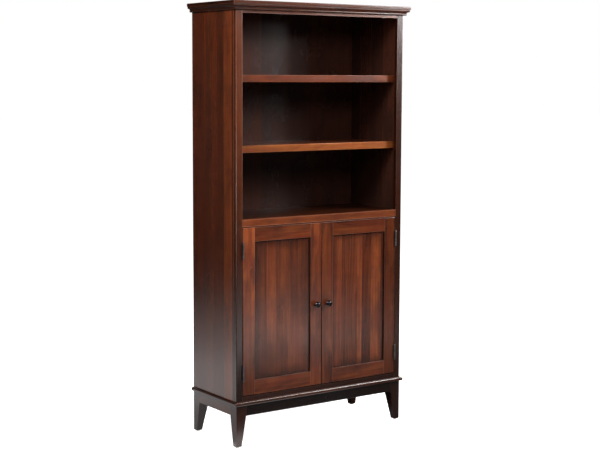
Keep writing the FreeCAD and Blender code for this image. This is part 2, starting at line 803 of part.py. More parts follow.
knob_hole = Part.makeCylinder(knob_screw_radius + running_clearance, door_thickness,
                              Vector(lock_stile_middle, door_back, knob_height), FORWARD)
strike = strike_plate()
hinge_stile = box(door_hinge_edge, hinge_stile_inner, case_front, door_back,
                  door_bottom, door_top)
lock_stile = box(lock_stile_inner, door_lock_edge, case_front, door_back, door_bottom, door_top)
panel = box(groove_left + door_panel_play, groove_right - door_panel_play,
            panel_front, panel_back,
            bottom_rail_high - door_groove_depth + door_panel_play,
            top_rail_low + door_groove_depth - door_panel_play)
door_pieces = {
    "hinge_stile": [hinge_stile.cut([stile_groove] + door_hinge_cuts)],
    "lock_stile": [lock_stile.cut([stile_groove, knob_hole, strike])],
    "top_rail": [door_rail(top_rail_low, door_top)],
    "bottom_rail": [door_rail(door_bottom, bottom_rail_high)],
    "panel": [panel],
    "hinge_leaves": door_leaves,
    "screws": door_leaf_screws + [knob_screw()],
    "knob": [knob()],
    "strike_plate": [strike],
}
for name, shapes in door_pieces.items():
    write_node("left_door_" + name, shapes)
    write_node("right_door_" + name, [mirrored(shape) for shape in shapes])

# ------------------------------------------------------------------ door stop and catches

stop_front = door_back + stop_gap
stop_strip = box(-inner_half, inner_half, stop_front, stop_front + stop_strip_depth,
                 door_top - stop_strip_drop, fixed_shelf_bottom)
magnet = Part.makeCylinder(magnet_radius, magnet_length,
                           Vector(lock_stile_middle, stop_front, magnet_height), BACKWARD)
magnets = both_sides([magnet])
write_node("door_stop_strip", [stop_strip.cut(magnets)])
write_node("catch_magnets", magnets)
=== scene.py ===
import math

import bpy
from mathutils import Matrix, Vector


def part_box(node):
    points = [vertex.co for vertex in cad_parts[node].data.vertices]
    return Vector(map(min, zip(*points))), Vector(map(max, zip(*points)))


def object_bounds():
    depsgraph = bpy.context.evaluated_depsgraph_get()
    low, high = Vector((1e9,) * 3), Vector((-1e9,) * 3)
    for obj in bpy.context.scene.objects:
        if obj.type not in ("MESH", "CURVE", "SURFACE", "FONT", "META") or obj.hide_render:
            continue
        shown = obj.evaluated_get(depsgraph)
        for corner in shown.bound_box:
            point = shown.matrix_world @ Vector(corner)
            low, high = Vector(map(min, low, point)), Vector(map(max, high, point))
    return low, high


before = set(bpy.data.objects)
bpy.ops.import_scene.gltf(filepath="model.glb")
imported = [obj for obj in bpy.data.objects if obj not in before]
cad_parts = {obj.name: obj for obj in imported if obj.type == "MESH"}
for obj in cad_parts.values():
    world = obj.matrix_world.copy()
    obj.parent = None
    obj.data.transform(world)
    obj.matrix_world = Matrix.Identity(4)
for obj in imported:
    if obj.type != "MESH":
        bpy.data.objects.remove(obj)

cad_low, cad_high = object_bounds()

# A tall cherry bookcase with two cabinet doors, dark stained under a satin lacquer.
# Metres, +Z up, the front faces -Y; every piece keeps the place that model.glb gives it.

# ------------------------------------------------------------------ sides of the case
# Two tall sides, each glued up from cherry boards with the grain upright. Every board takes the
# stain in its own tone.


def add(tree, kind, given=None, **settings):
    """Adds a shader node. An input is given a value or another node's output."""
    node = tree.nodes.new("ShaderNode" + kind)
    for name, value in settings.items():
        setattr(node, name, value)
    for name, value in (given or {}).items():
        if isinstance(value, bpy.types.NodeSocket):
            tree.links.new(value, node.inputs[name])
        else:
            node.inputs[name].default_value = value
    return node


def maths(tree, operation, *values):
    """A Math node's output, clamped only where the operation says so."""
    return add(tree, "Math", dict(enumerate(values)), operation=operation).outputs[0]


def vector_maths(tree, operation, *values):
    node = add(tree, "VectorMath", dict(enumerate(values)), operation=operation)
    return node.outputs["Value"] if operation == "LENGTH" else node.outputs["Vector"]


def noise(tree, vector, scale, detail, roughness=0.5):
    """Soft noise of 0 to 1; the scale is per metre along each axis."""
    scaled = vector_maths(tree, "MULTIPLY", vector, scale)
    given = {"Vector": scaled, "Scale": 1.0, "Detail": detail, "Roughness": roughness}
    return add(tree, "TexNoise", given).outputs["Fac"]


def between(tree, value, low, high, low_out=0.0, high_out=1.0):
    """The value eased from low..high to low_out..high_out."""
    given = {"Value": value, "From Min": low, "From Max": high,
             "To Min": low_out, "To Max": high_out}
    return add(tree, "MapRange", given, interpolation_type="SMOOTHSTEP").outputs["Result"]


def mixed(tree, factor, first, second, mode="MIX"):
    """One colour laid over another."""
    node = add(tree, "Mix", {0: factor, 6: first, 7: second}, data_type="RGBA", blend_type=mode)
    return node.outputs[2]


def shared_group(name, inputs, outputs):
    """An empty node group with named sockets, and its input and output nodes."""
    tree = bpy.data.node_groups.new(name, "ShaderNodeTree")
    for direction, sockets in (("INPUT", inputs), ("OUTPUT", outputs)):
        for socket, kind in sockets.items():
            tree.interface.new_socket(socket, in_out=direction, socket_type="NodeSocket" + kind)
    return tree, tree.nodes.new("NodeGroupInput").outputs, tree.nodes.new("NodeGroupOutput").inputs


def cherry_grain():
    """Stained cherry with its grain along Z: growth rings, streaks, blotches, fibres and pores."""
    tree, given, made = shared_group(
        "cherry_grain",
        {"Vector": "Vector", "Heart": "Vector", "Pale": "Color", "Dark": "Color", "Red": "Color",
         "Redness": "Float", "Figure": "Float", "Streaks": "Float", "Blotches": "Float"},
        {"Color": "Color", "Height": "Float", "Gloss": "Float"})
    wander_scale = (1.5, 1.5, 1.0)
    wander_reach = 0.09
    ripple_scale = (14.0, 14.0, 2.2)
    ripple_reach = 0.012
    ring_pitch = 0.0075
    ring_fading_scale = (5.0, 5.0, 0.9)
    streak_scale = (92.0, 92.0, 1.5)
    broad_streak_scale = (16.0, 16.0, 0.4)
    blotch_scale = (12.0, 12.0, 3.4)
    cross_figure_scale = (10.0, 10.0, 36.0)
    fleck_scale = (270.0, 270.0, 30.0)
    mottle_scale = (75.0, 75.0, 11.0)
    fibre_scale = (760.0, 760.0, 13.0)
    pore_scale = (1500.0, 1500.0, 95.0)
    late_wood_start, ring_end = 0.35, 0.95
    streak_range = (0.38, 0.64)
    streak_share, broad_share, fibre_share = 0.6, 0.35, 0.30
    # What is left clear of streaks and fibres.
    clearing = 0.20
    mottle_share, fleck_share, pore_share = 0.45, 0.6, 0.45
    pore_colour = (0.010, 0.004, 0.003, 1.0)
    place = given["Vector"]

    # The tree's heart wanders behind the board, which draws the pointed arches.
    wander = maths(tree, "SUBTRACT", noise(tree, place, wander_scale, 1.0), 0.5)
    ripple = maths(tree, "SUBTRACT", noise(tree, place, ripple_scale, 3.0), 0.5)
    from_heart = vector_maths(tree, "SUBTRACT", place, given["Heart"])
    flat = vector_maths(tree, "MULTIPLY", from_heart, (1.0, 1.0, 0.0))
    reach = vector_maths(tree, "LENGTH", flat)
    reach = maths(tree, "MULTIPLY_ADD", wander, wander_reach, reach)
    reach = maths(tree, "MULTIPLY_ADD", ripple, ripple_reach, reach)
    ring = maths(tree, "FRACT", maths(tree, "DIVIDE", reach, ring_pitch))
    late_wood = between(tree, ring, late_wood_start, ring_end)
    late_wood = maths(tree, "MULTIPLY", late_wood, between(tree, ring, ring_end, 1.0, 1.0, 0.0))
    fading = between(tree, noise(tree, place, ring_fading_scale, 1.0), 0.35, 0.65, 0.25, 1.0)
    late_wood = maths(tree, "MULTIPLY", maths(tree, "MULTIPLY", late_wood, fading), given["Figure"])

    streak = between(tree, noise(tree, place, streak_scale, 4.0, 0.65), *streak_range)
    broad = between(tree, noise(tree, place, broad_streak_scale, 2.0), *streak_range)
    streaks = maths(tree, "MULTIPLY", streak, streak_share)
    streaks = maths(tree, "MULTIPLY_ADD", broad, broad_share, streaks)
    streaks = maths(tree, "MULTIPLY", streaks, given["Streaks"])
    fleck = between(tree, noise(tree, place, fleck_scale, 2.0, 0.6), 0.57, 0.68)
    fibre = noise(tree, place, fibre_scale, 2.0, 0.6)
    pore = between(tree, noise(tree, place, pore_scale, 1.0), 0.63, 0.74)

    darkness = maths(tree, "ADD", late_wood, streaks)
    darkness = maths(tree, "MULTIPLY_ADD", fibre, fibre_share, darkness)
    darkness = maths(tree, "SUBTRACT", darkness, clearing)
    darkness = add(tree, "Clamp", {"Value": darkness}).outputs[0]
    blotch = noise(tree, place, blotch_scale, 3.0, 0.62)
    cross_figure = noise(tree, place, cross_figure_scale, 1.0)
    colour = mixed(tree, given["Redness"], given["Pale"], given["Red"])
    colour = mixed(tree, darkness, colour, given["Dark"])
    blotches = maths(tree, "MULTIPLY", between(tree, blotch, 0.44, 0.68), given["Blotches"])
    colour = mixed(tree, blotches, colour, given["Dark"])
    warmth = maths(tree, "MULTIPLY", between(tree, blotch, 0.50, 0.32), given["Blotches"])
    colour = mixed(tree, maths(tree, "MULTIPLY", warmth, 0.5), colour, given["Red"])
    mottle = noise(tree, place, mottle_scale, 2.0, 0.6)
    mottle = between(tree, mottle, 0.50, 0.66, 0.0, mottle_share)
    colour = mixed(tree, mottle, colour, given["Red"])
    # Short red flecks of gum.
    colour = mixed(tree, maths(tree, "MULTIPLY", fleck, fleck_share), colour, given["Red"])
    shimmer = maths(tree, "MULTIPLY_ADD", cross_figure, 0.30, 0.85)
    colour = mixed(tree, 1.0, colour, shimmer, "MULTIPLY")
    colour = mixed(tree, maths(tree, "MULTIPLY", pore, pore_share), colour, pore_colour)

    height = maths(tree, "MULTIPLY_ADD", pore, -0.8, fibre)
    tree.links.new(colour, made["Color"])
    tree.links.new(height, made["Height"])
    tree.links.new(maths(tree, "SUBTRACT", blotch, 0.5), made["Gloss"])
    return tree


def second_nearest(tree, place, low, high):
    """How far a point on a box is from the box's nearest edge."""
    past_low = vector_maths(tree, "SUBTRACT", place, low)
    past_high = vector_maths(tree, "SUBTRACT", high, place)
    away = add(tree, "SeparateXYZ", {0: vector_maths(tree, "MINIMUM", past_low, past_high)}).outputs
    first = maths(tree, "MINIMUM", away[0], away[1])
    second = maths(tree, "MAXIMUM", away[0], away[1])
    # The smallest of the three distances is that of the face itself.
    return maths(tree, "MAXIMUM", first, maths(tree, "MINIMUM", second, away[2]))


def wear_and_highlight_arris():
    """A mask that is 1 at the edges of a square piece, where the finish is rubbed thin; the stain
    also uses it to paint highlight lines along the edges.
    """
    tree, given, made = shared_group(
        "wear_and_highlight_arris",
        {"Vector": "Vector", "Low": "Vector", "High": "Vector", "Width": "Float"},
        {"Mask": "Float"})
    wear_scale = (55.0, 55.0, 55.0)
    edge = second_nearest(tree, given["Vector"], given["Low"], given["High"])
    uneven = noise(tree, given["Vector"], wear_scale, 3.0)
    width = maths(tree, "MULTIPLY", given["Width"], maths(tree, "ADD", uneven, 0.5))
    share = maths(tree, "DIVIDE", edge, width)
    tree.links.new(between(tree, share, 0.2, 1.0, 1.0, 0.0), made["Mask"])
    return tree


def edge_stain_and_shade():
    """How dark the edges of a surface go: stain left standing where a rag misses it, and painted
    shade where the surface is sunk.
    """
    tree, given, made = shared_group(
        "edge_stain_and_shade",
        {"Vector": "Vector", "Low": "Vector", "High": "Vector", "Width": "Float"},
        {"Mask": "Float"})
    edge_noise_scale = (11.0, 11.0, 7.0)
    edge = second_nearest(tree, given["Vector"], given["Low"], given["High"])
    uneven = noise(tree, given["Vector"], edge_noise_scale, 3.0, 0.6)
    width = maths(tree, "MULTIPLY", given["Width"], maths(tree, "MULTIPLY", uneven, 2.2))
    share = maths(tree, "DIVIDE", edge, width)
    tree.links.new(between(tree, share, 0.0, 1.0, 1.0, 0.0), made["Mask"])
    return tree


def satin_lacquer():
    """The sprayed topcoat: faint orange peel, and smears that change how it shines."""
    tree, given, made = shared_group(
        "satin_lacquer",
        {"Vector": "Vector", "Roughness": "Float", "Gloss": "Float"},
        {"Roughness": "Float", "Height": "Float"})
    peel_scale = (240.0, 240.0, 240.0)
    smear_scale = (7.0, 7.0, 7.0)
    smear_share, blotch_share = 0.14, 0.10
    smear = maths(tree, "SUBTRACT", noise(tree, given["Vector"], smear_scale, 4.0, 0.6), 0.5)
    rough = maths(tree, "MULTIPLY_ADD", smear, smear_share, given["Roughness"])
    rough = maths(tree, "MULTIPLY_ADD", given["Gloss"], blotch_share, rough)
    tree.links.new(rough, made["Roughness"])
    tree.links.new(noise(tree, given["Vector"], peel_scale, 1.0), made["Height"])
    return tree


shared = {"grain": cherry_grain(), "arris": wear_and_highlight_arris(), "edge_stain_shade": edge_stain_and_shade(),
          "lacquer": satin_lacquer()}

# How each axis is turned so that the grain group's Z runs along it.
GRAIN_TURN = {"X": (0.0, math.radians(90), 0.0), "Y": (math.radians(90), 0.0, 0.0),
              "Z": (0.0, 0.0, 0.0)}
# The stain, from where cherry takes least of it to where it takes most.
PALE_STAIN = (0.215, 0.053, 0.013)
DARK_STAIN = (0.060, 0.013, 0.005)
RED_STAIN = (0.140, 0.022, 0.008)
END_GRAIN_STRENGTH = 0.5
# How dark the darkened edges and patches go, stain left standing together with painted shade, and
# how much of a patch is its core.
EDGE_AND_PATCH_DARKNESS = 0.35
DARK_PATCH_CORE = 0.25
# How much paler an edge is, where the stain is rubbed thin and where a highlight line is painted
# along it.
WEAR_AND_HIGHLIGHT_GAIN, WEAR_AND_HIGHLIGHT_LIFT = 1.1, 0.05
# How deep the grain and the topcoat's orange peel are felt.
GRAIN_RELIEF, GRAIN_DEPTH, PEEL_SHARE = 0.06, 0.001, 0.15
# How much rougher the lacquer is where an edge is worn.
DULL_EDGE = 0.22
# A pale grey added evenly to the colour inside the case, a painted sheen that lifts its shade.
INSIDE_PAINTED_SHEEN = 0.006
# Where the tree's heart lay from a board's middle, and how far apart boards lay in the log.
HEART_DEPTH = 0.09
HEART_OFFSET = 0.015
BOARD_SHIFT = (0.05, 0.06, 2.0)
BOARD_STEP = 0.377
LOG_STEP = (1.37, 2.11, 3.71)
LOG_SIZE = (3.1, 2.7, 5.3)


def tinted(colour, strength):
    return tuple(part * strength for part in colour) + (1.0,)


def placed(tree, name, given):
    """A shared effect placed in a material, with that material's values."""
    node = tree.nodes.new("ShaderNodeGroup")
    node.node_tree = shared[name]
    for socket, value in given.items():
        if isinstance(value, bpy.types.NodeSocket):
            tree.links.new(value, node.inputs[socket])
        else:
            node.inputs[socket].default_value = value
    return node.outputs


def turned_point(point, grain):
    """The point as the Mapping node turns it."""
    x, y, z = GRAIN_TURN[grain]
    turn = Matrix.Rotation(z, 3, "Z") @ Matrix.Rotation(y, 3, "Y") @ Matrix.Rotation(x, 3, "X")
    return turn @ point


def in_the_log(tree, place, grain, seed):
    """The place turned to the grain and moved to a board's own place in the log, and that place."""
    shift = Vector([seed * step % size for step, size in zip(LOG_STEP, LOG_SIZE)])
    turned = add(tree, "Mapping", {"Vector": place, "Rotation": GRAIN_TURN[grain]})
    return vector_maths(tree, "ADD", turned.outputs[0], shift), shift


def new_material(name):
    material = bpy.data.materials.new(name)
    material.use_nodes = True
    material.node_tree.nodes.clear()
    return material


def surfaced(material, shader):
    """Ends a material in its shader."""
    output = material.node_tree.nodes.new("ShaderNodeOutputMaterial")
    material.node_tree.links.new(shader.outputs[0], output.inputs["Surface"])


def finished(node, material, shader):
    """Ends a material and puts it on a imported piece."""
    surfaced(material, shader)
    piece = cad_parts[node]
    piece.data.materials.clear()
    piece.data.materials.append(material)


def board_tones(tree, place, across, low, high, boards):
    """The strength, redness and place in the log of each board that a wide panel is glued from.

    Each board is (width, strength, redness); the last one takes what width is left. The ramp
    holds half of the strength, since its colours end at 1.
    """
    axis = "XYZ".index(across)
    share = maths(tree, "SUBTRACT", add(tree, "SeparateXYZ", {0: place}).outputs[axis], low[axis])
    share = maths(tree, "DIVIDE", share, high[axis] - low[axis])
    ramp = add(tree, "ValToRGB", {"Fac": share})
    ramp.color_ramp.interpolation = "CONSTANT"
    start = 0.0
    for number, (width, strength, redness) in enumerate(boards):
        if number < 2:
            stop = ramp.color_ramp.elements[number]
            stop.position = start
        else:
            stop = ramp.color_ramp.elements.new(start)
        stop.color = (strength / 2, redness, number * BOARD_STEP % 1.0, 1.0)
        start += width / (high[axis] - low[axis])
    return add(tree, "SeparateColor", {0: ramp.outputs["Color"]}).outputs


def stain(node, grain, seed, strength=1.0, redness=0.1, fade=(1.0, 1.0), across="", boards=(),
          figure=0.3, streaks=0.6, blotches=0.7, edge_stain_shade=0.0, edge_stain_shade_width=0.045, dark_patch=None,
          rubbed_and_highlit=0.35, worn_width=0.0022, edge_shade_strength=1.0, other_face=("", 1.0), painted_sheen=0.0,
          rough=0.24, specular=0.5, pale=PALE_STAIN):
    """Stains and lacquers one piece of cherry, cut from its own place in its own board.

    The fade is the strength at the two ends of the grain, a painted gradient of light and shade,
    and other_face is what takes its place on the face that looks along an axis, so that inner and
    outer faces are painted as shaded and lit copies. A dark patch is (centre, reach, share), round
    which the colour goes darker. Edge shade strength paints the faces across the piece's thickness
    darker, a painted shade in the gaps. Returns the material's nodes, its shader and the grain's
    Bump node.
    """
    low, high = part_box(node)
    material = new_material(node)
    tree = material.node_tree
    place = add(tree, "TexCoord").outputs["Object"]
    facing = add(tree, "SeparateXYZ", {0: add(tree, "TexCoord").outputs["Normal"]}).outputs
    # The heart lies some way behind the board's face.
    shifted, log_shift = in_the_log(tree, place, grain, seed)
    thin = min(range(3), key=lambda axis: high[axis] - low[axis])
    heart = Vector((HEART_OFFSET, HEART_OFFSET, HEART_OFFSET))
    heart[thin] = HEART_DEPTH
    heart = turned_point((low + high) / 2 + heart, grain) + log_shift
    if boards:
        tone = board_tones(tree, place, across, low, high, boards)
        strength_here = maths(tree, "MULTIPLY", tone[0], 2.0 * strength)
        redness_here = tone[1]
        board_shift = vector_maths(tree, "MULTIPLY", tone[2], BOARD_SHIFT)
        shifted = vector_maths(tree, "ADD", shifted, board_shift)
    else:
        strength_here = strength
        redness_here = redness
    axis = "XYZ".index(grain)
    along = add(tree, "SeparateXYZ", {0: place}).outputs[axis]
    # Painted light and shade: the strength fades from one end of the grain to the other.
    faded = between(tree, along, low[axis], high[axis], fade[0], fade[1])
    # Painted shade: one face, looking along an axis, takes another strength, so the inside of the
    # case is darker than the outside.
    if other_face[0]:
        looks = facing["XYZ".index(other_face[0])]
        gain = maths(tree, "SUBTRACT", other_face[1], faded)
        faded = maths(tree, "MULTIPLY_ADD", between(tree, looks, 0.5, 0.9), gain, faded)
    strength_here = maths(tree, "MULTIPLY", faded, strength_here)
    # The cut ends of the board drink more stain.
    to_end = maths(tree, "ABSOLUTE", facing[axis])
    end_grain = between(tree, to_end, 0.6, 0.9, 1.0, END_GRAIN_STRENGTH)
    strength_here = maths(tree, "MULTIPLY", end_grain, strength_here)
    # Painted shade in the gaps: the faces across the piece's thickness are darkened.
    if edge_shade_strength != 1.0:
        edge = between(tree, maths(tree, "ABSOLUTE", facing[thin]), 0.3, 0.8, edge_shade_strength, 1.0)
        strength_here = maths(tree, "MULTIPLY", edge, strength_here)
    wood = placed(tree, "grain", {
        "Vector": shifted, "Heart": heart, "Pale": tinted(pale, 1.0),
        "Dark": tinted(DARK_STAIN, 1.0), "Red": tinted(RED_STAIN, 1.0), "Redness": redness_here,
        "Figure": figure, "Streaks": streaks, "Blotches": blotches})
    colour = mixed(tree, 1.0, wood["Color"], as_colour(tree, strength_here), "MULTIPLY")
    # Darker edges: stain left standing, and painted shade of the recess.
    if edge_stain_shade:
        left = placed(tree, "edge_stain_shade", {"Vector": place, "Low": low, "High": high,
                                      "Width": edge_stain_shade_width})
        colour = mixed(tree, maths(tree, "MULTIPLY", left["Mask"], edge_stain_shade), colour,
                       tinted(DARK_STAIN, EDGE_AND_PATCH_DARKNESS * strength))
    # A dark patch: painted shade on the back panel; on the door panels, darker round a point.
    if dark_patch:
        centre, reach, share = dark_patch
        from_centre = vector_maths(tree, "LENGTH", vector_maths(tree, "SUBTRACT", place, centre))
        patch_share = between(tree, from_centre, DARK_PATCH_CORE * reach, reach, share, 0.0)
        colour = mixed(tree, patch_share, colour, tinted(DARK_STAIN, EDGE_AND_PATCH_DARKNESS * strength))
    # Pale edges, partly wear and partly painted highlight lines.
    worn = placed(tree, "arris", {"Vector": place, "Low": low, "High": high,
                                  "Width": worn_width})
    bare_and_highlit = maths(tree, "MULTIPLY_ADD", strength_here, WEAR_AND_HIGHLIGHT_GAIN, WEAR_AND_HIGHLIGHT_LIFT)
    bare_and_highlit = as_colour(tree, bare_and_highlit)
    bare_and_highlit = mixed(tree, 1.0, tinted(pale, 1.0), bare_and_highlit, "MULTIPLY")
    colour = mixed(tree, maths(tree, "MULTIPLY", worn["Mask"], rubbed_and_highlit), colour, bare_and_highlit)
    # A painted sheen: an even pale grey added to the colour.
    if painted_sheen:
        colour = mixed(tree, 1.0, colour, (painted_sheen, painted_sheen, painted_sheen, 1.0), "ADD")
    coat = placed(tree, "lacquer", {"Vector": place, "Roughness": rough, "Gloss": wood["Gloss"]})
    roughness = maths(tree, "MULTIPLY_ADD", worn["Mask"], DULL_EDGE, coat["Roughness"])
    height = maths(tree, "MULTIPLY_ADD", coat["Height"], PEEL_SHARE, wood["Height"])
    bump = add(tree, "Bump", {
        "Height": height, "Strength": GRAIN_RELIEF, "Distance": GRAIN_DEPTH})
    shader = add(tree, "BsdfPrincipled", {
        "Base Color": colour, "Roughness": roughness, "Normal": bump.outputs[0]})
    shader.inputs["Specular IOR Level"].default_value = specular
    finished(node, material, shader)
    return tree, shader, bump


def as_colour(tree, value):
    """A grey of the value, which may be a number or a node's output."""
    return add(tree, "CombineColor", {0: value, 1: value, 2: value}).outputs[0]


# Widths from the front edge of the side, strength and redness.
LEFT_SIDE_BOARDS = ((0.013, 0.46, 0.3), (0.063, 0.82, 0.1), (0.045, 0.41, 0.3), (0.045, 0.54, 0.6),
                    (0.063, 0.52, 0.2), (0.100, 0.44, 0.7))
RIGHT_SIDE_BOARDS = ((0.094, 0.24, 0.2), (0.081, 0.18, 0.5), (0.088, 0.22, 0.3), (0.060, 0.18, 0.6))
# The sides are painted darker low down, and darker on their inner faces than on their outer ones:
# painted shade inside the case.
stain("side_panel_left", "Z", 3.0, fade=(0.85, 1.00), across="Y", boards=LEFT_SIDE_BOARDS,
      other_face=("X", 0.40))
stain("side_panel_right", "Z", 7.0, fade=(0.55, 1.25), across="Y", boards=RIGHT_SIDE_BOARDS,
      other_face=("X", 2.6), painted_sheen=INSIDE_PAINTED_SHEEN)

# ------------------------------------------------------------------ panels between the sides
# The top panel, the fixed shelf and the cabinet floor: glued-up cherry let into housings in the
# sides, with the grain from side to side.

PANEL_BOARDS = ((0.110, 0.45, 0.2), (0.105, 0.32, 0.4), (0.100, 0.38, 0.2))
stain("case_top_panel", "X", 11.0, across="Y", boards=PANEL_BOARDS, figure=0.2,
      painted_sheen=INSIDE_PAINTED_SHEEN)
stain("fixed_shelf", "X", 12.0, strength=0.4, across="Y", boards=PANEL_BOARDS, rough=0.32,
      specular=0.2)
stain("cabinet_floor", "X", 13.0, across="Y", boards=PANEL_BOARDS, figure=0.2, painted_sheen=INSIDE_PAINTED_SHEEN)

# ------------------------------------------------------------------ back panel and case screws
# A thin cherry-faced panel in rabbets in the sides, held by zinc-plated screws from behind, with
# its grain upright. Longer screws hold the case together.

BACK_LEAVES = ((0.335, 0.39, 0.3), (0.240, 0.20, 0.4), (0.325, 0.28, 0.3))
# A panel this thin bows in and out a little between its screws.
BOW_DEPTH = 0.0004
BOW_PITCH = 0.30
BACK_PAINTED_SHADE = ((-0.10, 0.18, 1.02), 0.42, 0.6)
# Painted shade inside the case: the back's inner face is dark, darker low down and round a patch
# over the fixed shelf, and its outer face is lighter. A pale painted sheen lies over it too.
tree, shader, relief = stain(
    "back_panel", "Z", 17.0, fade=(0.30, 0.77), across="X", boards=BACK_LEAVES, figure=0.15,
    rubbed_and_highlit=0.0, dark_patch=BACK_PAINTED_SHADE, other_face=("Y", 2.0), painted_sheen=0.005, rough=0.26, specular=0.22)
sideways = add(tree, "SeparateXYZ", {0: add(tree, "TexCoord").outputs["Object"]}).outputs[0]
wave = maths(tree, "SINE", maths(tree, "MULTIPLY", sideways, -math.tau / BOW_PITCH))
bow = add(tree, "Bump", {"Height": wave, "Strength": 1.0, "Distance": BOW_DEPTH})
tree.links.new(bow.outputs[0], relief.inputs["Normal"])


def metal_marks():
    """Handling marks on metal: fine scratches, and patches where the finish has dulled."""
    tree, given, made = shared_group(
        "metal_marks",
        {"Vector": "Vector", "Size": "Float"},
        {"Mask": "Float", "Scratches": "Float"})
    patch_scale = (1.0, 1.0, 1.0)
    scratch_scale = (4.0, 1.0, 0.25)
    scaled = vector_maths(tree, "DIVIDE", given["Vector"], as_vector(tree, given["Size"]))
    patches = between(tree, noise(tree, scaled, patch_scale, 4.0, 0.6), 0.40, 0.62)
    tree.links.new(patches, made["Mask"])
    tree.links.new(noise(tree, scaled, scratch_scale, 5.0, 0.7), made["Scratches"])
    return tree


def as_vector(tree, value):
    return add(tree, "CombineXYZ", {0: value, 1: value, 2: value}).outputs[0]


shared["marks"] = metal_marks()

# How much rougher metal is where it is dull or scratched, and how deep the scratches are felt.
DULL_METAL, SCRATCHED_METAL = 0.12, 0.10
SCRATCH_RELIEF, SCRATCH_DEPTH = 0.08, 0.0003


def metal(node, bright, dull, rough, patch_size, worn_width, worn_colour, worn_share):
    """A metal fastener or fitting: two shades in patches, worn brighter along its edges."""
    low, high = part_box(node)
    material = new_material(node)
    tree = material.node_tree
    place = add(tree, "TexCoord").outputs["Object"]
    marks = placed(tree, "marks", {"Vector": place, "Size": patch_size})
    worn = placed(tree, "arris", {"Vector": place, "Low": low, "High": high, "Width": worn_width})
    colour = mixed(tree, marks["Mask"], bright + (1.0,), dull + (1.0,))
    colour = mixed(tree, maths(tree, "MULTIPLY", worn["Mask"], worn_share), colour,
                   worn_colour + (1.0,))
    roughness = maths(tree, "MULTIPLY_ADD", marks["Mask"], DULL_METAL, rough)
    roughness = maths(tree, "MULTIPLY_ADD", marks["Scratches"], SCRATCHED_METAL, roughness)
    bump = add(tree, "Bump", {"Height": marks["Scratches"], "Strength": SCRATCH_RELIEF,
                              "Distance": SCRATCH_DEPTH})
    shader = add(tree, "BsdfPrincipled", {
        "Base Color": colour, "Metallic": 1.0, "Roughness": roughness,
        "Normal": bump.outputs[0]})
    finished(node, material, shader)


def zinc_plate(node):
    metal(node, bright=(0.62, 0.61, 0.58), dull=(0.42, 0.41, 0.38), rough=0.30, patch_size=0.004,
          worn_width=0.0008, worn_colour=(0.74, 0.73, 0.70), worn_share=0.5)


zinc_plate("back_panel_screws")
zinc_plate("case_screws")

# ------------------------------------------------------------------ face frame
# Two cherry stiles and three rails with stub tenons, glued to the front of the case. The stiles
# are painted darker low down, painted shade where less light reaches, and the bottom rail is
# darker all along.


def eased_arris():
    """Marks the long sharp edges on one side of a piece, so that a Bevel can round them."""
    weld_distance = 0.00002
    least_alignment = 0.999
    least_angle = 0.9
    least_length = 0.022
    tree = bpy.data.node_groups.new("eased_arris", "GeometryNodeTree")
    for socket, kind in (("Geometry", "Geometry"), ("Along", "Vector"), ("Across", "Vector"),
                         ("Toward", "Vector"), ("Beyond", "Float")):
        tree.interface.new_socket(socket, in_out="INPUT", socket_type="NodeSocket" + kind)
    tree.interface.new_socket("Geometry", in_out="OUTPUT", socket_type="NodeSocketGeometry")
    given = tree.nodes.new("NodeGroupInput").outputs
    made = tree.nodes.new("NodeGroupOutput").inputs
    welded = tree.nodes.new("GeometryNodeMergeByDistance")
    welded.inputs["Distance"].default_value = weld_distance
    angle = tree.nodes.new("GeometryNodeInputMeshEdgeAngle").outputs["Unsigned Angle"]
    ends = tree.nodes.new("GeometryNodeInputMeshEdgeVertices").outputs
    run = vector_maths(tree, "SUBTRACT", ends["Position 2"], ends["Position 1"])
    straight = vector_maths(tree, "NORMALIZE", run)
    marked = maths(tree, "MAXIMUM", lined_up(tree, straight, given["Along"]),
                   lined_up(tree, straight, given["Across"]))
    marked = maths(tree, "GREATER_THAN", marked, least_alignment)
    sharp = maths(tree, "GREATER_THAN", angle, least_angle)
    long = maths(tree, "GREATER_THAN", vector_maths(tree, "LENGTH", run), least_length)
    centre = vector_maths(tree, "ADD", ends["Position 2"], ends["Position 1"])
    centre = add(tree, "VectorMath", {0: centre, 1: given["Toward"]}, operation="DOT_PRODUCT")
    outer = maths(tree, "MULTIPLY", centre.outputs["Value"], 0.5)
    outer = maths(tree, "GREATER_THAN", outer, given["Beyond"])
    for share in (sharp, long, outer):
        marked = maths(tree, "MULTIPLY", marked, share)
    stored = tree.nodes.new("GeometryNodeStoreNamedAttribute")
    stored.data_type = "FLOAT"
    stored.domain = "EDGE"
    stored.inputs["Name"].default_value = "bevel_weight_edge"
    tree.links.new(given["Geometry"], welded.inputs["Geometry"])
    tree.links.new(welded.outputs["Geometry"], stored.inputs["Geometry"])
    tree.links.new(marked, stored.inputs["Value"])
    tree.links.new(stored.outputs["Geometry"], made["Geometry"])
    return tree


def lined_up(tree, direction, axis):
    """1 for an edge that runs along the axis."""
    share = add(tree, "VectorMath", {0: direction, 1: axis}, operation="DOT_PRODUCT")
    return maths(tree, "ABSOLUTE", share.outputs["Value"])


easing = eased_arris()
EASED_ARRIS = 0.0012
EASING_SEGMENTS = 3
AXES = {"": (0.0, 0.0, 0.0), "X": (1.0, 0.0, 0.0), "Y": (0.0, 1.0, 0.0), "Z": (0.0, 0.0, 1.0),
        "-X": (-1.0, 0.0, 0.0), "-Y": (0.0, -1.0, 0.0), "-Z": (0.0, 0.0, -1.0)}


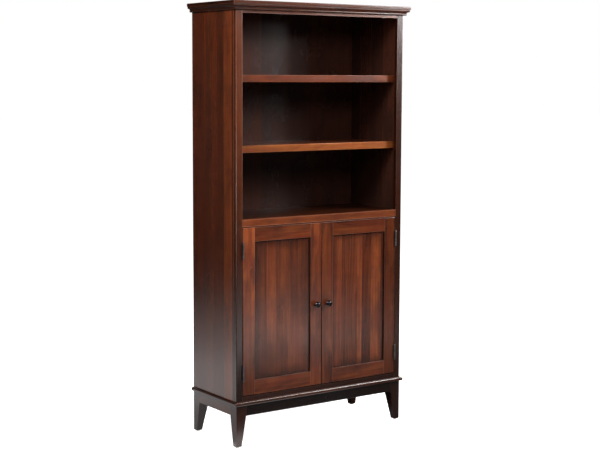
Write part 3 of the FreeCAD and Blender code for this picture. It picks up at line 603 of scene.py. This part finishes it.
def ease(node, along, width, across="", toward=""):
    """Takes the sharpness off a piece's long edges, as a sanding block does.

    With toward, only the edges in the outer half of the piece, that way, are rounded.
    """
    low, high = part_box(node)
    way = Vector(AXES[toward])
    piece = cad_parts[node]
    mark = piece.modifiers.new("eased_arris", "NODES")
    mark.node_group = easing
    given = {"Along": AXES[along], "Across": AXES[across], "Toward": way,
             "Beyond": (low + high).dot(way) / 2 - 0.001}
    for socket in easing.interface.items_tree:
        if socket.name in given:
            mark[socket.identifier] = given[socket.name]
    bevel = piece.modifiers.new("bevel", "BEVEL")
    bevel.limit_method = "WEIGHT"
    bevel.width = width
    bevel.segments = EASING_SEGMENTS
    bevel.use_clamp_overlap = False


# The left stile and the middle rail carry wide pale edges, partly wear and partly painted highlight
# lines along their arrises.
stain("frame_stile_left", "Z", 21.0, fade=(0.065, 0.54), figure=0.2, rubbed_and_highlit=0.8, worn_width=0.004)
stain("frame_stile_right", "Z", 22.0, fade=(0.115, 0.165), redness=0.4, figure=0.2)
stain("frame_top_rail", "X", 23.0, fade=(0.40, 0.75), figure=0.2)
stain("frame_middle_rail", "X", 24.0, fade=(0.86, 0.61), redness=0.2, figure=0.2, rubbed_and_highlit=0.8,
      worn_width=0.004)
stain("frame_bottom_rail", "X", 25.0, fade=(0.160, 0.085), redness=0.3, figure=0.2)

for stile in ("frame_stile_left", "frame_stile_right"):
    ease(stile, "Z", EASED_ARRIS, toward="-Y")

# ------------------------------------------------------------------ crown
# A flat cherry board that overhangs the front and sides, over a cove and bead moulding that is
# mitred at the front corners. Both are glued and screwed down to the top panel.

CROWN_BOARDS = ((0.130, 0.85, 0.2), (0.120, 0.70, 0.3), (0.125, 0.80, 0.2))
tree, shader, relief = stain("crown_board", "X", 31.0, strength=0.46, across="Y",
                             boards=CROWN_BOARDS, rubbed_and_highlit=0.5, rough=0.20)
# Dust dulls the top, where nobody wipes.
DUST_DULLING = 0.65
looks_up = add(tree, "SeparateXYZ", {0: add(tree, "TexCoord").outputs["Normal"]}).outputs[2]
clean = shader.inputs["Roughness"].links[0].from_socket
dusty = maths(tree, "MULTIPLY_ADD", between(tree, looks_up, 0.7, 0.95), DUST_DULLING, clean)
tree.links.new(dusty, shader.inputs["Roughness"])
stain("crown_moulding_front", "X", 32.0, strength=0.29, redness=0.2, figure=0.1, rubbed_and_highlit=0.05,
      rough=0.20)
stain("crown_moulding_left", "Y", 33.0, strength=0.18, redness=0.3, figure=0.1)
stain("crown_moulding_right", "Y", 34.0, strength=0.18, redness=0.3, figure=0.1)

# ------------------------------------------------------------------ base moulding
# A rounded cherry moulding under the case, mitred at the front corners, with a plain poplar cleat
# across the back where it doesn't show.

stain("base_moulding_front", "X", 41.0, strength=0.24, redness=0.2, figure=0.1, rubbed_and_highlit=0.05)
stain("base_moulding_left", "Y", 42.0, strength=0.18, redness=0.3, figure=0.1)
stain("base_moulding_right", "Y", 43.0, strength=0.18, redness=0.3, figure=0.1)

POPLAR_HEART = Vector((HEART_DEPTH, 0.05, 0.0))
POPLAR_PALE = (0.47, 0.37, 0.21)
POPLAR_DARK = (0.30, 0.24, 0.12)
POPLAR_GREEN = (0.33, 0.33, 0.17)
POPLAR_ROUGHNESS, POPLAR_PATCHES = 0.68, 0.2
POPLAR_RELIEF, POPLAR_DEPTH = 0.15, 0.001
POPLAR_ARRIS, POPLAR_RUBBED = 0.002, 0.3


def bare_poplar(node, grain, seed):
    """Planed poplar, left without stain where it is out of sight."""
    low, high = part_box(node)
    material = new_material(node)
    tree = material.node_tree
    place = add(tree, "TexCoord").outputs["Object"]
    shifted, log_shift = in_the_log(tree, place, grain, seed)
    heart = turned_point((low + high) / 2, grain) + log_shift + POPLAR_HEART
    wood = placed(tree, "grain", {
        "Vector": shifted, "Heart": heart, "Pale": POPLAR_PALE + (1.0,),
        "Dark": POPLAR_DARK + (1.0,), "Red": POPLAR_GREEN + (1.0,), "Redness": 0.1,
        "Figure": 0.4, "Streaks": 0.5, "Blotches": 0.2})
    worn = placed(tree, "arris", {"Vector": place, "Low": low, "High": high,
                                  "Width": POPLAR_ARRIS})
    colour = mixed(tree, maths(tree, "MULTIPLY", worn["Mask"], POPLAR_RUBBED), wood["Color"],
                   tinted(POPLAR_PALE, 1.2))
    rough = maths(tree, "MULTIPLY_ADD", wood["Gloss"], POPLAR_PATCHES, POPLAR_ROUGHNESS)
    bump = add(tree, "Bump", {"Height": wood["Height"], "Strength": POPLAR_RELIEF,
                              "Distance": POPLAR_DEPTH})
    shader = add(tree, "BsdfPrincipled", {
        "Base Color": colour, "Roughness": rough, "Normal": bump.outputs[0]})
    finished(node, material, shader)


bare_poplar("base_back_cleat", "X", 44.0)

# ------------------------------------------------------------------ legs, aprons and glides
# Four tapered cherry legs with an apron tenoned between each pair, poplar corner blocks glued and
# screwed inside, and a nylon glide nailed under each foot.

APRON_ARRIS = 0.0015
LEG_STAIN = {"leg_front_left": (0.17, 51.0), "leg_front_right": (0.08, 52.0),
             "leg_back_left": (0.13, 53.0), "leg_back_right": (0.15, 54.0)}
for leg, (strength, seed) in LEG_STAIN.items():
    stain(leg, "Z", seed, strength=strength, redness=0.5, figure=0.2, rubbed_and_highlit=0.3)
APRON_STAIN = {"apron_front": (0.035, 55.0, "X"), "apron_back": (0.15, 56.0, "X"),
               "apron_left": (0.35, 57.0, "Y"), "apron_right": (0.20, 58.0, "Y")}
for apron, (strength, seed, grain) in APRON_STAIN.items():
    stain(apron, grain, seed, strength=strength, redness=0.3, figure=0.2)
    ease(apron, grain, APRON_ARRIS, toward="-Z")
bare_poplar("corner_blocks", "X", 59.0)

NYLON = (0.58, 0.56, 0.51)
NYLON_SCUFFED = (0.36, 0.34, 0.31)
NYLON_ROUGHNESS, NYLON_SCRATCHED = 0.38, 0.25
NYLON_RELIEF, NYLON_DEPTH = 0.1, 0.0004
SCUFF_SIZE = 0.005
SCUFF_HEIGHT = 0.002


def moulded_nylon(node):
    """Moulded nylon, scuffed grey where it meets the floor."""
    material = new_material(node)
    tree = material.node_tree
    place = add(tree, "TexCoord").outputs["Object"]
    marks = placed(tree, "marks", {"Vector": place, "Size": SCUFF_SIZE})
    up = add(tree, "SeparateXYZ", {0: place}).outputs[2]
    low_down = between(tree, up, 0.0, SCUFF_HEIGHT, 1.0, 0.2)
    scuffed = maths(tree, "MULTIPLY", low_down, marks["Mask"])
    colour = mixed(tree, scuffed, NYLON + (1.0,), NYLON_SCUFFED + (1.0,))
    rough = maths(tree, "MULTIPLY_ADD", marks["Scratches"], NYLON_SCRATCHED, NYLON_ROUGHNESS)
    bump = add(tree, "Bump", {"Height": marks["Scratches"], "Strength": NYLON_RELIEF,
                              "Distance": NYLON_DEPTH})
    shader = add(tree, "BsdfPrincipled", {
        "Base Color": colour, "Roughness": rough, "Normal": bump.outputs[0]})
    finished(node, material, shader)


moulded_nylon("leg_glides")

# ------------------------------------------------------------------ shelf supports
# Plated steel supports, four to a shelf. Each is a pin in one of the drilled holes, with a tab that
# the shelf lies on.

zinc_plate("shelf_supports")

# ------------------------------------------------------------------ adjustable shelves
# Two open shelves and one behind the doors, each of glued-up cherry with the grain from side to
# side. The open ones have a thick cherry nosing along the front that keeps them from sagging.

YELLOW_STAIN = (0.205, 0.062, 0.012)
SHELF_BOARDS = ((0.100, 0.45, 0.2), (0.095, 0.36, 0.3), (0.090, 0.42, 0.2))
stain("upper_shelf_board", "X", 61.0, across="Y", boards=SHELF_BOARDS)
stain("middle_shelf_board", "X", 62.0, across="Y", boards=SHELF_BOARDS)
stain("cabinet_shelf_board", "X", 63.0, across="Y", boards=SHELF_BOARDS)
# The nosings' pale top edges are partly wear and partly a painted highlight line.
stain("upper_shelf_nosing", "X", 64.0, fade=(0.82, 0.80), redness=0.4, figure=0.2, rubbed_and_highlit=0.6)
stain("middle_shelf_nosing", "X", 65.0, pale=YELLOW_STAIN, fade=(1.22, 1.34), redness=0.0,
      figure=0.2, blotches=0.4, rubbed_and_highlit=0.6)
for nosing in ("upper_shelf_nosing", "middle_shelf_nosing"):
    ease(nosing, "X", EASED_ARRIS, toward="-Y")

# ------------------------------------------------------------------ doors
# Each door is a frame of two stiles and two rails round a flat panel that floats in grooves. The
# panels are glued from boards, and are darker round their edges than in the middle: stain left
# standing there, and painted shade of the recess they sit in.

ARRIS = 0.002
RAIL_ARRIS = 0.001
LEFT_PANEL_BOARDS = ((0.070, 0.62, 0.2), (0.110, 0.71, 0.1), (0.120, 0.64, 0.2))
# Round these points the panels go darker, near a corner of each.
LEFT_DARK_PATCH = ((-0.31, -0.15, 0.34), 0.20, 0.62)
RIGHT_PANEL_BOARDS = ((0.060, 0.74, 0.3), (0.084, 0.52, 0.2), (0.026, 0.82, 0.0),
                      (0.050, 0.41, 0.3), (0.052, 0.82, 0.0), (0.027, 0.60, 0.2))
RIGHT_DARK_PATCH = ((0.28, -0.15, 0.86), 0.11, 0.5)
# The fades are painted gradients of light and shade along each member, and the faces across the
# doors' thickness are painted darker, a painted shade in the gaps.
DOOR_STAIN = {
    "left_door_hinge_stile": ("Z", 71.0, (0.42, 1.34)),
    "left_door_lock_stile": ("Z", 72.0, (0.84, 0.93)),
    "left_door_top_rail": ("X", 73.0, (0.71, 0.71)),
    "left_door_bottom_rail": ("X", 74.0, (0.73, 0.66)),
    "right_door_hinge_stile": ("Z", 75.0, (0.38, 0.41)),
    "right_door_lock_stile": ("Z", 76.0, (0.55, 0.60)),
    "right_door_top_rail": ("X", 77.0, (0.53, 0.55)),
    "right_door_bottom_rail": ("X", 78.0, (0.64, 0.58))}
for piece, (grain, seed, fade) in DOOR_STAIN.items():
    stain(piece, grain, seed, redness=0.15, fade=fade, figure=0.4, streaks=1.0, blotches=1.0,
          rubbed_and_highlit=0.15, edge_shade_strength=0.3)
for door, hinge_side, lock_side in (("left_door", "-X", "X"), ("right_door", "X", "-X")):
    ease(door + "_hinge_stile", "Z", ARRIS, across="X", toward=hinge_side)
    ease(door + "_lock_stile", "Z", ARRIS, across="X", toward=lock_side)
    ease(door + "_top_rail", "X", RAIL_ARRIS)
    ease(door + "_bottom_rail", "X", RAIL_ARRIS)
stain("left_door_panel", "Z", 81.0, fade=(1.15, 0.92), across="X", boards=LEFT_PANEL_BOARDS,
      figure=0.45, streaks=0.85, edge_stain_shade=0.9, edge_stain_shade_width=0.060, dark_patch=LEFT_DARK_PATCH)
stain("right_door_panel", "Z", 82.0, fade=(0.94, 1.27), across="X", boards=RIGHT_PANEL_BOARDS,
      figure=0.4, streaks=0.85, edge_stain_shade=0.85, dark_patch=RIGHT_DARK_PATCH)

# ------------------------------------------------------------------ hinges
# Steel butt hinges with an oil-rubbed bronze finish, their barrels in front of the face. One leaf
# is screwed to the face frame and one to the door, and a loose pin runs through the barrel.

BRONZE = (0.170, 0.155, 0.158)
BRONZE_DULL = (0.100, 0.086, 0.086)
BRONZE_RUBBED = (0.150, 0.110, 0.090)


def rubbed_bronze(node):
    metal(node, bright=BRONZE, dull=BRONZE_DULL, rough=0.30, patch_size=0.012,
          worn_width=0.0012, worn_colour=BRONZE_RUBBED, worn_share=0.6)


for fitting in ("hinge_frame_leaves", "hinge_pins", "hinge_frame_screws", "left_door_hinge_leaves",
                "right_door_hinge_leaves", "left_door_screws", "right_door_screws"):
    rubbed_bronze(fitting)

# ------------------------------------------------------------------ knobs
# A small turned knob of solid metal on each door, with an oil-rubbed bronze finish that fingers
# have worn at the rim. A screw through the lock stile holds it.

KNOB_BRONZE = (0.046, 0.042, 0.047)
KNOB_DULL = (0.024, 0.021, 0.023)
KNOB_RUBBED = (0.100, 0.074, 0.062)
for knob in ("left_door_knob", "right_door_knob"):
    metal(knob, bright=KNOB_BRONZE, dull=KNOB_DULL, rough=0.06, patch_size=0.012,
          worn_width=0.003, worn_colour=KNOB_RUBBED, worn_share=0.25)

# ------------------------------------------------------------------ door stop and catches
# A cherry strip under the fixed shelf stops the doors, and a magnet in it holds a steel plate let
# into the back of each door.

stain("door_stop_strip", "X", 91.0, strength=0.7, figure=0.2)
zinc_plate("left_door_strike_plate")
zinc_plate("right_door_strike_plate")
metal("catch_magnets", bright=(0.55, 0.54, 0.53), dull=(0.40, 0.40, 0.40), rough=0.16,
      patch_size=0.003, worn_width=0.0006, worn_colour=(0.30, 0.25, 0.20), worn_share=0.4)

# ------------------------------------------------------------------ floor, lamps and camera
# A plain pale floor in front of a white backdrop, and soft studio lamps: the strongest high at
# the right, two more on that side, one at the left, a weak one in front and one behind.

FLOOR_SIZE = 80.0
# How much light the floor throws back at the piece, and how pale its shadow is to the eye.
FLOOR_BOUNCE = 0.42
SHADOW_TONE = 0.70
# How white the floor is to the eye near the piece and far from it.
NEAR_FLOOR, FAR_FLOOR = (1.6, 0.90), (4.0, 1.0)
# Pools of light that gloss finds on the floor, each (centre, reach, level): behind the left
# side, at its back corner, beside the left legs and round the nearest foot.
BEHIND_POOL = ((-1.5, 1.8, 0.0), (0.5, 1.6), 0.72)
BEHIND_REST = 0.02
BEHIND_END = (-0.2, 0.3)
CORNER_POOL = ((-1.0, 1.05, 0.0), (0.45, 0.95), 1.45)
SIDE_POOL = ((-0.66, 0.25, 0.0), (0.35, 0.75), 0.8)
FEET_POOL = ((-0.35, -0.35, 0.0), (0.45, 0.85), 2.3)
FEET_END = (0.27, 0.45)
# The floor in front, a bright band that lies farther out on it, and the floor far away: patches
# that glow only for gloss, painted light on the floor for the lacquer to mirror.
FRONT_START, FRONT_END, FRONT_LEVEL = (0.0, 0.15), (0.4, 1.3), 0.17
GLOSS_BAND_START, GLOSS_BAND_END, GLOSS_BAND_LEVEL = (1.45, 1.7), (2.2, 3.2), 2.5
GLOSS_BAND_RIGHT = (1.25, 2.15)
HORIZON, HORIZON_LEVEL = (9.0, 14.0), 0.06
WHITE = (1.0, 1.0, 1.0)


def seen_white(tree):
    """1 for what the eye sees directly or through glass."""
    path = add(tree, "LightPath").outputs
    return maths(tree, "MAXIMUM", path["Is Camera Ray"], path["Is Transmission Ray"])


def pool_of_light(tree, place, centre, reach, level, rest=0.0):
    """A round pool: its level in the middle, and the rest beyond its reach."""
    away = vector_maths(tree, "LENGTH", vector_maths(tree, "SUBTRACT", place, centre))
    return between(tree, away, *reach, level, rest)


def floor_finish():
    """White to the eye with the piece's shadow kept; gloss mirrors the pools of light round it."""
    material = new_material("studio_floor")
    tree = material.node_tree
    place = add(tree, "TexCoord").outputs["Object"]
    away = vector_maths(tree, "LENGTH", place)
    apart = add(tree, "SeparateXYZ", {0: place}).outputs
    in_front = maths(tree, "MULTIPLY", apart[1], -1.0)
    start = between(tree, in_front, *FRONT_START)
    behind = maths(tree, "MULTIPLY", pool_of_light(tree, place, *BEHIND_POOL, BEHIND_REST),
                   between(tree, in_front, *BEHIND_END, 1.0, 0.0))
    # A painted glow, seen only in gloss, for the lacquer to mirror.
    gloss_band = maths(tree, "MULTIPLY", between(tree, in_front, *GLOSS_BAND_START),
                 between(tree, in_front, *GLOSS_BAND_END, GLOSS_BAND_LEVEL, 0.0))
    gloss_band = maths(tree, "MULTIPLY", gloss_band, between(tree, apart[0], *GLOSS_BAND_RIGHT, 1.0, 0.0))
    feet = maths(tree, "MULTIPLY", start, between(tree, in_front, *FEET_END, 1.0, 0.0))
    feet = maths(tree, "MULTIPLY", feet, pool_of_light(tree, place, *FEET_POOL))
    front = maths(tree, "MULTIPLY", start, between(tree, in_front, *FRONT_END, FRONT_LEVEL, 0.0))
    pool = between(tree, away, *HORIZON, 0.0, HORIZON_LEVEL)
    for patch in (behind, pool_of_light(tree, place, *CORNER_POOL),
                  pool_of_light(tree, place, *SIDE_POOL), gloss_band, feet, front):
        pool = maths(tree, "MAXIMUM", pool, patch)
    glossy = add(tree, "LightPath").outputs["Is Glossy Ray"]
    seen = between(tree, away, NEAR_FLOOR[0], FAR_FLOOR[0], NEAR_FLOOR[1], FAR_FLOOR[1])
    glow = maths(tree, "MULTIPLY", seen_white(tree), seen)
    glow = maths(tree, "MULTIPLY_ADD", glossy, pool, glow)
    matt_colour = mixed(tree, seen_white(tree), tinted(WHITE, FLOOR_BOUNCE),
                        tinted(WHITE, SHADOW_TONE))
    matt_colour = mixed(tree, glossy, matt_colour, (0.0, 0.0, 0.0, 1.0))
    matt = add(tree, "BsdfDiffuse", {"Color": matt_colour})
    light = add(tree, "Emission", {"Strength": glow})
    both = add(tree, "AddShader", {0: matt.outputs[0], 1: light.outputs[0]})
    surfaced(material, both)
    return material


floor_mesh = bpy.data.meshes.new("studio_floor")
half = FLOOR_SIZE / 2
floor_mesh.from_pydata([(-half, -half, 0), (half, -half, 0), (half, half, 0), (-half, half, 0)], [],
                       [(0, 1, 2, 3)])
floor_mesh.materials.append(floor_finish())
floor = bpy.data.objects.new("studio_floor", floor_mesh)
bpy.context.scene.collection.objects.link(floor)

# The room: white to the eye; to gloss, the white backdrop behind, square to the camera, a dim
# room in front and a pale wall at the right.
FILL = 0.12
BACKDROP_WAY = (0.577, 0.816, 0.0)
BACKDROP_EDGE = (0.55, 0.8)
BACKDROP_TOP = (0.45, 0.75)
WALL_EDGE, WALL_LEVEL = (0.80, 0.95), 0.6
ROOM_SIDES, ROOM_LEVELS = (0.0, 0.4), (0.01, 0.03)
world = bpy.data.worlds.new("studio")
bpy.context.scene.world = world
world.use_nodes = True
tree = world.node_tree
tree.nodes.clear()
way = add(tree, "TexCoord").outputs["Generated"]
apart = add(tree, "SeparateXYZ", {0: way}).outputs
to_right, up = apart[0], apart[2]
toward_back = add(tree, "VectorMath", {0: way, 1: BACKDROP_WAY}, operation="DOT_PRODUCT")
behind = between(tree, toward_back.outputs["Value"], *BACKDROP_EDGE)
backdrop = maths(tree, "MULTIPLY", behind, between(tree, up, *BACKDROP_TOP, 1.0, 0.0))
wall = between(tree, to_right, *WALL_EDGE, 0.0, WALL_LEVEL)
mirrored = maths(tree, "MAXIMUM", wall, between(tree, to_right, *ROOM_SIDES, *ROOM_LEVELS))
mirrored = maths(tree, "MAXIMUM", backdrop, mirrored)
glossy = add(tree, "LightPath").outputs["Is Glossy Ray"]
level = maths(tree, "MULTIPLY_ADD", glossy, maths(tree, "SUBTRACT", mirrored, FILL), FILL)
level = maths(tree, "MAXIMUM", level, seen_white(tree))
sky = add(tree, "Background", {"Color": tinted(WHITE, 1.0), "Strength": level})
output = tree.nodes.new("ShaderNodeOutputWorld")
tree.links.new(sky.outputs[0], output.inputs["Surface"])

middle = (cad_low + cad_high) / 2


def soft_lamp(name, azimuth, elevation, distance, width, height, power, mirrored=True):
    """A rectangular lamp that faces the piece. Azimuth 0 is straight in front of it.

    One that isn't mirrored lights the piece without a hot spot in the lacquer.
    """
    lamp = bpy.data.lights.new(name, "AREA")
    lamp.shape = "RECTANGLE"
    lamp.size = width
    lamp.size_y = height
    lamp.energy = power
    turn, rise = math.radians(azimuth), math.radians(elevation)
    away = Vector((math.sin(turn) * math.cos(rise), -math.cos(turn) * math.cos(rise),
                   math.sin(rise)))
    holder = bpy.data.objects.new(name, lamp)
    bpy.context.scene.collection.objects.link(holder)
    holder.location = middle + away * distance
    holder.rotation_mode = "QUATERNION"
    holder.rotation_quaternion = away.to_track_quat("Z", "Y")
    holder.visible_camera = False
    holder.visible_glossy = mirrored


soft_lamp("key_lamp", 49.0, 30.0, 3.42, 1.3, 0.8, 102.0)
soft_lamp("front_lamp", -6.0, 30.0, 3.4, 2.0, 0.8, 40.0)
soft_lamp("left_lamp", -66.0, 35.0, 3.33, 0.9, 0.9, 84.0)
soft_lamp("top_lamp", 66.0, 56.0, 4.0, 1.6, 1.6, 40.0, mirrored=False)
soft_lamp("right_lamp", 50.0, 23.0, 3.6, 0.4, 1.1, 64.0)
soft_lamp("back_lamp", 168.0, 30.0, 5.0, 1.6, 1.6, 150.0, mirrored=False)

# The camera stands to the left of the front, a little below the top of the piece. Its focal
# length is in pixels of the picture, its angles are in degrees.
PICTURE_WIDTH = 600.0
FOCAL_LENGTH = 1318.7
SENSOR_WIDTH = 36.0
CAMERA_SHIFT = -0.03
CAMERA_PLACE = (-3.2674, -4.7053, 1.5300)
CAMERA_TURN, CAMERA_NOD, CAMERA_ROLL = -34.757, 90 - 5.578, 0.194
camera = bpy.data.cameras.new("camera")
camera.sensor_width = SENSOR_WIDTH
camera.lens = SENSOR_WIDTH * FOCAL_LENGTH / PICTURE_WIDTH
camera.shift_y = CAMERA_SHIFT
camera_holder = bpy.data.objects.new("camera", camera)
bpy.context.scene.collection.objects.link(camera_holder)
turn = Matrix.Rotation(math.radians(CAMERA_TURN), 4, "Z")
nod = Matrix.Rotation(math.radians(CAMERA_NOD), 4, "X")
roll = Matrix.Rotation(math.radians(CAMERA_ROLL), 4, "Z")
camera_holder.matrix_world = Matrix.Translation(CAMERA_PLACE) @ turn @ nod @ roll
bpy.context.scene.camera = camera_holder

bpy.context.scene.view_settings.view_transform = "Standard"
